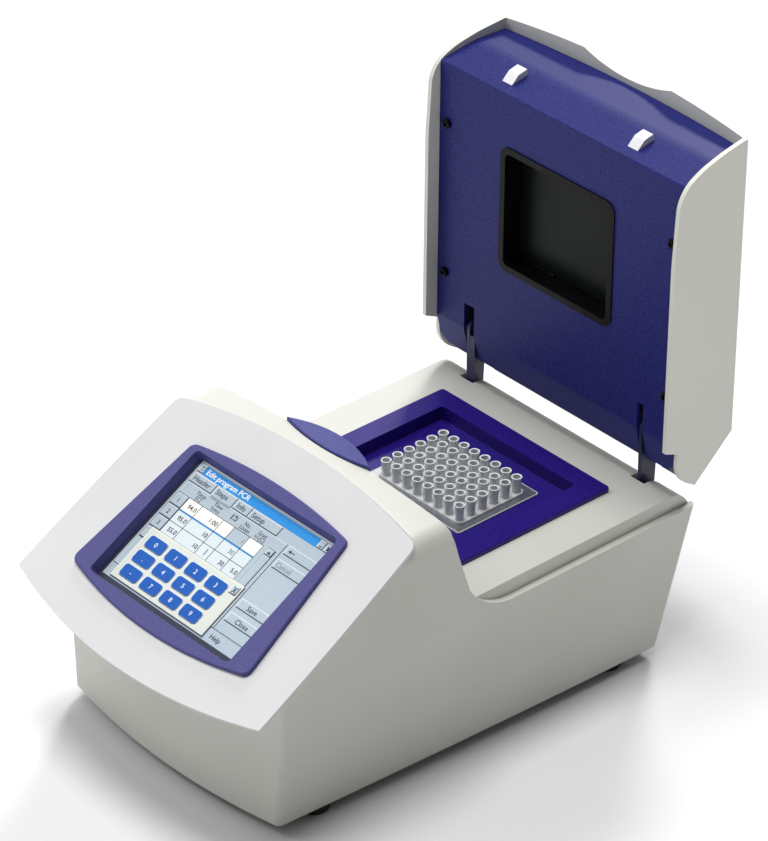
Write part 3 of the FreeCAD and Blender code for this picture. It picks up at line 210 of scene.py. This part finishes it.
def lit(name, light, dark):
    """A lit part of the display: a faint grain and a glow of its own."""
    material, tree, shader = blank_material(name)
    grain = object_noise(tree, DISPLAY_GRAIN, 1.0)
    shades = paint(tree, shader, grain, dark, light)
    tree.links.new(shades.outputs["Color"], shader.inputs["Emission Color"])
    shader.inputs["Emission Strength"].default_value = DISPLAY_GLOW
    vary_roughness(tree, shader, grain, 0.4, 0.5)
    shader.inputs["Specular IOR Level"].default_value = 0.12
    return material


def make_materials():
    """Every finish, by name."""
    return {
        "white": moulded("white_plastic", colour(210, 210, 203), colour(203, 203, 195), 0.5, shine=0.4),
        "lid_white": moulded("lid_plastic", colour(228, 229, 219), colour(222, 223, 212), 0.48, shine=0.4),
        "fascia_white": moulded("fascia_plastic", colour(213, 213, 214), colour(206, 206, 207), 0.42,
                                shine=0.4),
        "hook_white": moulded("hook_plastic", colour(240, 240, 243), colour(230, 230, 235), 0.4),
        "lid_blue": speckled("lid_blue", colour(44, 49, 132), colour(22, 24, 88), 0.42, shine=0.16),
        "frame_blue": speckled("frame_blue", colour(46, 29, 134), colour(30, 14, 102), 0.3, coat=0.15,
                               shine=0.2),
        "bezel_blue": speckled("bezel_blue", colour(86, 84, 142), colour(70, 68, 124), 0.45, shine=0.2),
        "pad_blue": speckled("pad_blue", colour(78, 80, 150), colour(56, 58, 122), 0.42, shine=0.2),
        "arm_blue": speckled("arm_blue", colour(44, 44, 92), colour(24, 24, 60), 0.35, coat=0.1),
        "black": moulded("black_plastic", colour(12, 12, 15), colour(6, 6, 8), 0.36, shine=0.12),
        "grey": moulded("grey_plastic", colour(120, 122, 126), colour(104, 106, 110), 0.5),
        "dark_plate": moulded("dark_plate", colour(17, 23, 24), colour(9, 13, 14), 0.34, grain=900.0,
                              grain_strength=0.1, shine=0.12),
        "rubber": moulded("rubber", colour(24, 24, 24), colour(14, 14, 14), 0.75, grain=1800.0,
                          grain_strength=0.5),
        "silicone": moulded("silicone", colour(190, 190, 188), colour(170, 170, 168), 0.6),
        "steel": metal("zinc_steel", colour(190, 192, 195), colour(165, 168, 172), 0.35),
        "pin_steel": metal("turned_steel", colour(180, 180, 184), colour(150, 150, 155), 0.28, TURNED),
        "black_screw": metal("black_oxide", colour(34, 34, 36), colour(18, 18, 20), 0.4, EVEN),
        "aluminium": metal("milled_aluminium", colour(205, 206, 208), colour(182, 184, 188), 0.3),
        "board": moulded("circuit_board", colour(24, 92, 52), colour(14, 70, 38), 0.35),
        "ceramic": moulded("ceramic", colour(232, 230, 226), colour(222, 220, 214), 0.55),
        "tubes": clear_plastic("clear_tubes"),
        # The tube rims' near-white is a painted highlight of light on the clear rims, not the tubes' own
        # colour.
        "rim": moulded("tube_rim", colour(252, 252, 252), colour(240, 243, 245), 0.2),
        "glass": screen_glass("touch_glass"),
        "lcd": moulded("lcd_frame", colour(16, 16, 22), colour(8, 8, 12), 0.3),
        "ui_back": lit("display_grey", colour(172, 186, 196), colour(164, 178, 189)),
        "ui_bar": lit("display_bar", colour(46, 142, 214), colour(38, 132, 206)),
        "ui_light": lit("display_light", colour(208, 218, 222), colour(200, 210, 215)),
        "ui_white": lit("display_white", colour(240, 240, 230), colour(234, 235, 226)),
        "ui_dark": lit("display_dark", colour(58, 62, 78), colour(48, 52, 68)),
        "ui_grey": lit("display_grey_text", colour(128, 138, 150), colour(120, 130, 142)),
        "ui_key": lit("display_key", colour(30, 90, 174), colour(24, 80, 162)),
        "ui_ink": lit("display_key_ink", colour(206, 220, 240), colour(196, 210, 234)),
        "ui_popup": lit("display_popup", colour(208, 212, 204), colour(200, 205, 198)),
    }


FINISHES = {
    "white": "main_housing",
    "lid_white": "lid_cover",
    "fascia_white": "front_fascia",
    "hook_white": "lid_hooks",
    "lid_blue": "lid_case",
    "frame_blue": "block_frame",
    "bezel_blue": "screen_bezel",
    "pad_blue": "release_pad",
    "arm_blue": "hinge_arm_left hinge_arm_right",
    "black": "window_frame mains_inlet switch_housing power_rocker fan_frame fan_rotor data_port",
    "grey": "latch_bar",
    "dark_plate": "heated_plate",
    "rubber": "rubber_feet",
    "silicone": "block_seal",
    "steel": "bottom_plate rear_panel power_supply hinge_crossbar hinge_brackets sink_posts "
             "pressure_carrier latch_guides",
    "pin_steel": "foot_screws arm_screws housing_screws hinge_pins rocker_pin pad_springs",
    "black_screw": "lid_screws",
    "aluminium": "sample_block heat_sink",
    "board": "display_board main_board",
    "ceramic": "peltier_modules",
    "tubes": "sample_plate",
    "glass": "touch_glass",
    "lcd": "lcd_module",
}


def paint_nodes(materials):
    """Gives every carried-over CAD node its finish."""
    for finish, names in FINISHES.items():
        for name in names.split():
            node = NODES[name]
            node.data.materials.clear()
            node.data.materials.append(materials[finish])


# ---------------------------------------------------------------- picture on the display

# The picture's places are in mm: across from the panel's middle, and up from the bezel's foot. Its
# levels count layers out from the glass, so that a shape covers those of a lower level.
SCREEN_MIDDLE = 60.35
LAYER = 0.05 * MM
FIRST_LAYER = 0.03 * MM
EDGE_DEPTH = 0.8  # layers
LETTER_WEIGHT = 0.012  # share of the letters' size
BUTTON_EDGE = 0.6
CORNER_STEPS = 5
TITLE_TEXT = 5.0
TAB_TEXT = 4.7
HEADING_TEXT = 3.4
VALUE_TEXT = 4.2
BUTTON_TEXT = 4.5
KEY_TEXT = 4.3
FIRST_KEY_X = -40.4
FIRST_KEY_HEIGHT = 48.4
KEY_PITCH_X = 17.42
KEY_PITCH_Y = 10.65
KEY_NAMES = (("0", "1", "2", "3"), (".", "4", "5", "6"), ("-", "7", "8", "9"))

# Name, left and right edge of each tab.
TABS = (("Header", -55.9, -36.6), ("Steps", -36.2, -18.5), ("Info", -18.0, -5.4), ("Setup", -5.0, 20.2))
OPEN_TAB = "Steps"

# Middle, upper and lower words of each heading.
HEADINGS = ((-40.6, "Temp", "[C]"), (-25.8, "Time", "h:m:s"), (-0.2, "No.", "Loops"),
            (12.4, "Grad", "+/-[C]"))

# Edges of the table's columns and rows, and what the cells say. The first row is in use.
COLUMNS = ((-45.9, -34.9), (-34.4, -16.4), (-15.9, -6.7), (-6.2, 6.4), (6.9, 17.9))
ROWS = ((73.8, 81.9), (65.2, 73.4), (56.7, 64.8), (48.2, 56.3))
CELLS = (("94.0", "1:00", "", "1", ""), ("95.0", "10", "", "30", ""), ("55.0", "10", "", "30", "5.0"),
         ("", "", "", "", ""))
LOOPS_COLUMN = 3

# Lower and upper edge of each button at the right.
BUTTONS = ((84.2, 90.6), (74.4, 81.0), (44.4, 50.9), (34.6, 41.1))


def screen_plane():
    """Centre and axes (right, up, out) of the touch glass's front face."""
    mesh = NODES["touch_glass"].data
    front = max(mesh.polygons, key=lambda face: face.area * (1.0 if face.normal.z > 0.5 else 0.0))
    out = front.normal.copy()
    right = Vector((1.0, 0.0, 0.0))
    up = out.cross(right).normalized()
    low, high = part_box("touch_glass")
    middle = (Vector(low) + Vector(high)) / 2
    middle += out * ((mesh.vertices[front.vertices[0]].co - middle).dot(out))
    return middle, right, up, out


class Sheet:
    """All the flat shapes of one colour on the display, gathered in one mesh."""

    def __init__(self, plane):
        self.middle, self.right, self.up, self.out = plane
        self.bm = bmesh.new()

    def place(self, x, height, level):
        """Point at x across and a height up the panel, in mm, on a layer."""
        lift = FIRST_LAYER + level * LAYER
        return (self.middle + self.right * (x * MM) + self.up * ((height - SCREEN_MIDDLE) * MM)
                + self.out * lift)

    def shape(self, corners, level):
        """A flat shape with a thin edge down to the layer below."""
        tops = [self.bm.verts.new(self.place(x, height, level)) for x, height in corners]
        feet = [self.bm.verts.new(self.place(x, height, level - EDGE_DEPTH)) for x, height in corners]
        self.bm.faces.new(tops)
        for k in range(len(corners)):
            after = (k + 1) % len(corners)
            self.bm.faces.new((tops[k], feet[k], feet[after], tops[after]))

    def block(self, x0, x1, low, high, level, radius=0.0):
        """A rectangle, with rounded corners if asked."""
        if radius == 0.0:
            self.shape([(x0, low), (x1, low), (x1, high), (x0, high)], level)
            return
        corners = []
        centres = ((x1 - radius, low + radius, -90), (x1 - radius, high - radius, 0),
                   (x0 + radius, high - radius, 90), (x0 + radius, low + radius, 180))
        for x, height, start in centres:
            for step in range(CORNER_STEPS + 1):
                turn = math.radians(start + 90 / CORNER_STEPS * step)
                corners.append((x + radius * math.cos(turn), height + radius * math.sin(turn)))
        self.shape(corners, level)

    def words(self, text, x, height, size, level, align="LEFT"):
        """Generic words or digits as flat letters."""
        curve = bpy.data.curves.new("letters", "FONT")
        curve.body = text
        curve.size = size
        curve.align_x = align
        curve.resolution_u = 3
        curve.offset = size * LETTER_WEIGHT
        letters = bpy.data.objects.new("letters", curve)
        add_to_scene(letters)
        bpy.context.view_layer.update()
        flat = letters.to_mesh()
        points = [self.bm.verts.new(self.place(x + v.co.x, height + v.co.y, level)) for v in flat.vertices]
        for face in flat.polygons:
            self.bm.faces.new([points[k] for k in face.vertices])
        letters.to_mesh_clear()
        bpy.data.objects.remove(letters)
        bpy.data.curves.remove(curve)

    def finish(self, name, material):
        """Makes the piece and lets it ride on the base."""
        bmesh.ops.recalc_face_normals(self.bm, faces=self.bm.faces)
        mesh = bpy.data.meshes.new(name)
        self.bm.to_mesh(mesh)
        self.bm.free()
        mesh.materials.append(material)
        piece = bpy.data.objects.new(name, mesh)
        add_to_scene(piece)
        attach(piece, "base")


def raised_button(sheets, x0, x1, low, high, level):
    """A button with a light upper-left edge and a dark lower-right edge."""
    sheets["dark"].block(x0, x1, low, high, level)
    inner_x1 = x1 - BUTTON_EDGE
    inner_low = low + BUTTON_EDGE
    sheets["light"].block(x0, inner_x1, inner_low, high, level + 1)
    sheets["back"].block(x0 + BUTTON_EDGE, inner_x1, inner_low, high - BUTTON_EDGE, level + 2)


def draw_ground(sheets):
    """The display's dark border and its grey ground."""
    sheets["dark"].block(-58.5, 59.5, 16.0, 105.5, -0.4)
    sheets["light"].block(-57.3, 58.4, 18.8, 104.8, 0.2)
    sheets["back"].block(-56.9, 58.4, 18.8, 104.3, 0.6)


def draw_title(sheets):
    """Blue title bar with its icon boxes."""
    sheets["bar"].block(-51.0, 46.2, 97.4, 103.2, 3)
    sheets["white"].words("Edit program PCR", -49.3, 98.8, TITLE_TEXT, 4)
    for x in (-55.8, 46.6, 52.3):
        raised_button(sheets, x, x + 4.9, 97.7, 103.2, 2)
    sheets["dark"].block(-54.0, -52.9, 99.4, 100.0, 5)
    sheets["dark"].block(-54.6, -52.4, 101.2, 101.7, 5)
    sheets["dark"].block(48.0, 50.2, 99.0, 99.6, 5)
    sheets["dark"].block(53.6, 56.2, 99.0, 101.6, 5)


def draw_tabs(sheets):
    """Four tabs, the open one a little taller."""
    for name, x0, x1 in TABS:
        low = 89.6 if name == OPEN_TAB else 90.4
        raised_button(sheets, x0, x1, low, 97.0, 2)
        sheets["dark"].words(name, x0 + 1.8, 92.2, TAB_TEXT, 5)
    sheets["back"].block(-35.6, -19.1, 88.6, 91.0, 3)


def draw_headings(sheets):
    """The sheet that holds the table of steps, and the table's headings."""
    sheets["dark"].block(-55.7, 30.8, 27.3, 90.2, 1)
    sheets["light"].block(-55.7, 30.2, 27.9, 90.2, 2)
    sheets["back"].block(-55.1, 29.9, 28.4, 89.8, 3)
    sheets["back"].block(-35.6, -19.1, 88.9, 90.6, 3)
    for x, upper, lower in HEADINGS:
        sheets["dark"].words(upper, x, 86.0, HEADING_TEXT, 4, "CENTER")
        sheets["dark"].words(lower, x, 83.1, HEADING_TEXT, 4, "CENTER")
    sheets["dark"].block(-13.6, -12.7, 84.6, 88.2, 4)
    sheets["dark"].block(-11.6, -9.2, 85.0, 85.6, 4)
    sheets["dark"].block(-9.6, -9.0, 85.0, 88.0, 4)
    sheets["dark"].shape([(-12.0, 87.7), (-10.2, 86.7), (-10.2, 88.7)], 4)


def draw_rows(sheets):
    """The table's numbered rows, on a dark sheet that shows as the lines between the cells."""
    sheets["dark"].block(-55.6, 18.2, 47.8, 82.3, 4)
    for number, (low, high) in enumerate(ROWS):
        sheets["light"].block(-55.3, -46.9, low + 0.5, high, 5)
        sheets["back"].block(-54.8, -46.9, low + 0.5, high - 0.5, 6)
        sheets["dark"].words(str(number + 1), -51.2, low + 2.4, VALUE_TEXT, 7, "CENTER")
        for place, (x0, x1) in enumerate(COLUMNS):
            fill = "light"
            if number == 0:
                fill = "back" if place == LOOPS_COLUMN else "white"
            sheets[fill].block(x0, x1, low, high, 5)
            if number == 1:
                sheets["bar"].block(x0, x1, high - 0.7, high + 0.1, 6)
            ink = "grey" if place == LOOPS_COLUMN and number < 2 else "dark"
            sheets[ink].words(CELLS[number][place], x1 - 0.7, low + 2.4, VALUE_TEXT, 7, "RIGHT")
    sheets["dark"].block(-10.4, -9.9, 58.6, 63.0, 7)


def draw_scroll_bar(sheets):
    """The scroll bar beside the table, with its upper button."""
    sheets["dark"].block(21.9, 28.0, 30.0, 83.0, 4)
    sheets["light"].block(22.2, 27.4, 30.0, 82.6, 5)
    sheets["back"].block(22.6, 27.4, 30.0, 77.9, 6)
    raised_button(sheets, 22.2, 27.6, 78.2, 82.6, 6)
    sheets["dark"].shape([(23.3, 79.4), (26.3, 79.4), (24.8, 81.2)], 9)


def draw_buttons(sheets):
    """The column of buttons at the right and the help strip."""
    for low, high in BUTTONS:
        raised_button(sheets, 32.3, 58.6, low, high, 2)
    sheets["dark"].block(35.0, 39.4, 87.1, 87.6, 5)
    sheets["dark"].shape([(34.2, 87.35), (36.2, 86.2), (36.2, 88.5)], 5)
    sheets["grey"].words("Cancel", 33.6, 76.0, BUTTON_TEXT, 5)
    sheets["dark"].words("Save", 39.6, 46.0, BUTTON_TEXT, 5)
    sheets["dark"].words("Close", 39.4, 36.2, BUTTON_TEXT, 5)
    sheets["dark"].block(29.0, 59.0, 27.4, 27.8, 2)
    sheets["dark"].block(-57.0, -51.0, 27.4, 27.8, 2)
    sheets["dark"].words("Help", 32.6, 21.5, BUTTON_TEXT, 2)


def draw_keypad(sheets):
    """The number pad over the lower left of the table."""
    sheets["dark"].block(-51.6, 29.0, 19.6, 56.4, 9)
    sheets["white"].block(-51.6, 28.3, 20.3, 56.4, 10)
    sheets["popup"].block(-51.1, 28.3, 20.3, 55.9, 11)
    for row, names in enumerate(KEY_NAMES):
        middle = FIRST_KEY_HEIGHT - KEY_PITCH_Y * row
        for column, name in enumerate(names):
            x = FIRST_KEY_X + KEY_PITCH_X * column
            sheets["dark"].block(x - 7.6, x + 7.8, middle - 4.6, middle + 4.4, 12, 2.4)
            sheets["ink"].block(x - 7.7, x + 7.4, middle - 4.2, middle + 4.5, 13, 2.2)
            sheets["key"].block(x - 7.3, x + 7.3, middle - 4.1, middle + 4.1, 14, 2.0)
            sheets["ink"].words(name, x, middle - 1.5, KEY_TEXT, 15, "CENTER")
    raised_button(sheets, 21.8, 27.2, 48.9, 54.7, 12)
    for tilt in (-1.0, 1.0):
        sheets["dark"].shape([(22.9, 51.8 - 1.9 * tilt), (23.4, 51.8 - 2.2 * tilt),
                              (26.2, 51.8 + 1.9 * tilt), (25.7, 51.8 + 2.2 * tilt)], 15)


def make_display(materials):
    """The picture on the display, as layers of thin shapes."""
    plane = screen_plane()
    names = ("back", "bar", "light", "white", "dark", "grey", "key", "ink", "popup")
    sheets = {name: Sheet(plane) for name in names}
    draw_ground(sheets)
    draw_title(sheets)
    draw_tabs(sheets)
    draw_headings(sheets)
    draw_rows(sheets)
    draw_scroll_bar(sheets)
    draw_buttons(sheets)
    draw_keypad(sheets)
    for name, sheet in sheets.items():
        sheet.finish("display_" + name, materials["ui_" + name])


# ---------------------------------------------------------------- tube rims and springs

TUBE_PITCH = 9.0 * MM
TUBE_COLUMNS = 8
TUBE_ROWS = 6
RIM_STEPS = 28
# Section of a rim: radius and height over the tube's mouth, in mm, from inside to outside.
RIM_SECTION = ((2.42, -0.30), (2.50, -0.02), (2.72, 0.04), (2.95, 0.0), (3.02, -0.30))


def add_rim(bm, x, y, mouth):
    """One rim, round the point x, y at the height of the tube's mouth."""
    rings = []
    for step in range(RIM_STEPS):
        turn = 2 * math.pi * step / RIM_STEPS
        ring = []
        for radius, lift in RIM_SECTION:
            reach = radius * MM
            place = (x + reach * math.cos(turn), y + reach * math.sin(turn), mouth + lift * MM)
            ring.append(bm.verts.new(place))
        rings.append(ring)
    for step in range(RIM_STEPS):
        near = rings[step]
        far = rings[(step + 1) % RIM_STEPS]
        for k in range(len(RIM_SECTION) - 1):
            bm.faces.new((near[k], near[k + 1], far[k + 1], far[k]))


def make_tube_rims(material):
    """Bright rolled rims on the mouths of all the sample tubes; their near-white is a painted highlight of
    light catching the clear rims.
    """
    low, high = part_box("sample_plate")
    middle = (Vector(low) + Vector(high)) / 2
    bm = bmesh.new()
    for column in range(TUBE_COLUMNS):
        for row in range(TUBE_ROWS):
            x = middle.x + (column - (TUBE_COLUMNS - 1) / 2) * TUBE_PITCH
            y = middle.y + (row - (TUBE_ROWS - 1) / 2) * TUBE_PITCH
            add_rim(bm, x, y, high[2])
    bmesh.ops.recalc_face_normals(bm, faces=bm.faces)
    mesh = bpy.data.meshes.new("tube_rims")
    bm.to_mesh(mesh)
    bm.free()
    mesh.shade_smooth()
    mesh.materials.append(material)
    rims = bpy.data.objects.new("tube_rims", mesh)
    add_to_scene(rims)
    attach(rims, "tube_plate")


def let_springs_close():
    """The springs under the release pad, as a copy of their mesh that rides on the base in place of the
    carried-over node.
    """
    springs = bpy.data.objects.new("coil_springs", NODES["pad_springs"].data.copy())
    add_to_scene(springs)
    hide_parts("pad_springs")
    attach(springs, "base")
    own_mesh(springs)


# ---------------------------------------------------------------- camera, lights, floor

# Angles in degrees, lengths in metres. Azimuth 0 looks at the front, and 90 at the right side.
CAMERA_AZIMUTH = 48.05
CAMERA_ELEVATION = 32.39
CAMERA_ROLL = 0.45
CAMERA_PLACE = Vector((1.57939, -1.41446, 1.51193))
LENS_MM = 189.8
SENSOR_MM = 36.0
CLIP_END = 50.0

# The surround's strength at the left and at the right, and where the change begins and ends.
SURROUND_LEFT = 0.5
SURROUND_RIGHT = 0.05
SURROUND_FROM = -0.8
SURROUND_TO = 0.9
FLOOR_REACH = 30.0

# Suns: name, direction towards each from the object, strength and spread in degrees.
SUNS = (
    ("back_left", (-0.44, 0.675, 0.59), 1.6, 12.0),
    ("front_left", (-0.62, -0.38, 0.69), 0.75, 22.0),
    ("overhead", (-0.1, 0.05, 1.0), 2.1, 24.0),
)


def make_camera():
    """The camera, looking down at the front and the right side."""
    azimuth = math.radians(CAMERA_AZIMUTH)
    elevation = math.radians(CAMERA_ELEVATION)
    roll = math.radians(CAMERA_ROLL)
    right = Vector((math.cos(azimuth), math.sin(azimuth), 0.0))
    back = Vector((math.sin(azimuth) * math.cos(elevation), -math.cos(azimuth) * math.cos(elevation),
                   math.sin(elevation)))
    up = back.cross(right)
    rolled_right = right * math.cos(roll) + up * math.sin(roll)
    rolled_up = up * math.cos(roll) - right * math.sin(roll)
    data = bpy.data.cameras.new("camera")
    data.lens = LENS_MM
    data.sensor_width = SENSOR_MM
    data.clip_end = CLIP_END
    camera = bpy.data.objects.new("camera", data)
    turn = Matrix((rolled_right, rolled_up, back)).transposed()
    camera.matrix_world = Matrix.Translation(CAMERA_PLACE) @ turn.to_4x4()
    add_to_scene(camera)
    bpy.context.scene.camera = camera


def sun(name, towards, strength, spread):
    """Soft light from one direction, given as seen from the object."""
    data = bpy.data.lights.new(name, "SUN")
    data.energy = strength
    data.angle = math.radians(spread)
    light = bpy.data.objects.new(name, data)
    light.rotation_euler = (-Vector(towards)).to_track_quat("-Z", "Y").to_euler()
    add_to_scene(light)


def make_world():
    """A pale surround, brighter on the left than on the right."""
    world = bpy.data.worlds.new("studio")
    world.use_nodes = True
    tree = world.node_tree
    place = tree.nodes.new("ShaderNodeTexCoord")
    axes = tree.nodes.new("ShaderNodeSeparateXYZ")
    tree.links.new(place.outputs["Generated"], axes.inputs["Vector"])
    side = tree.nodes.new("ShaderNodeMapRange")
    side.inputs["From Min"].default_value = SURROUND_FROM
    side.inputs["From Max"].default_value = SURROUND_TO
    side.inputs["To Min"].default_value = SURROUND_LEFT
    side.inputs["To Max"].default_value = SURROUND_RIGHT
    tree.links.new(axes.outputs["X"], side.inputs["Value"])
    background = tree.nodes["Background"]
    background.inputs["Color"].default_value = (1.0, 1.0, 1.0, 1.0)
    tree.links.new(side.outputs["Result"], background.inputs["Strength"])
    bpy.context.scene.world = world


def make_studio():
    """A pale floor, a pale surround and soft lights."""
    make_world()
    for name, towards, strength, spread in SUNS:
        sun(name, towards, strength, spread)
    mesh = bpy.data.meshes.new("floor")
    far = FLOOR_REACH
    corners = [(-far, -far, 0), (far, -far, 0), (far, far, 0), (-far, far, 0)]
    mesh.from_pydata(corners, [], [(0, 1, 2, 3)])
    floor = bpy.data.objects.new("floor", mesh)
    add_to_scene(floor)
    material, tree, shader = blank_material("floor_white")
    paint(tree, shader, object_noise(tree, FLOOR_GRAIN), colour(226, 226, 227), colour(230, 230, 231))
    shader.inputs["Roughness"].default_value = 0.9
    mesh.materials.append(material)


def main():
    """Finishes, display, small pieces, camera and studio."""
    materials = make_materials()
    paint_nodes(materials)
    make_display(materials)
    make_tube_rims(materials["rim"])
    let_springs_close()
    make_camera()
    make_studio()
    bpy.context.scene.view_settings.view_transform = "Standard"


main()
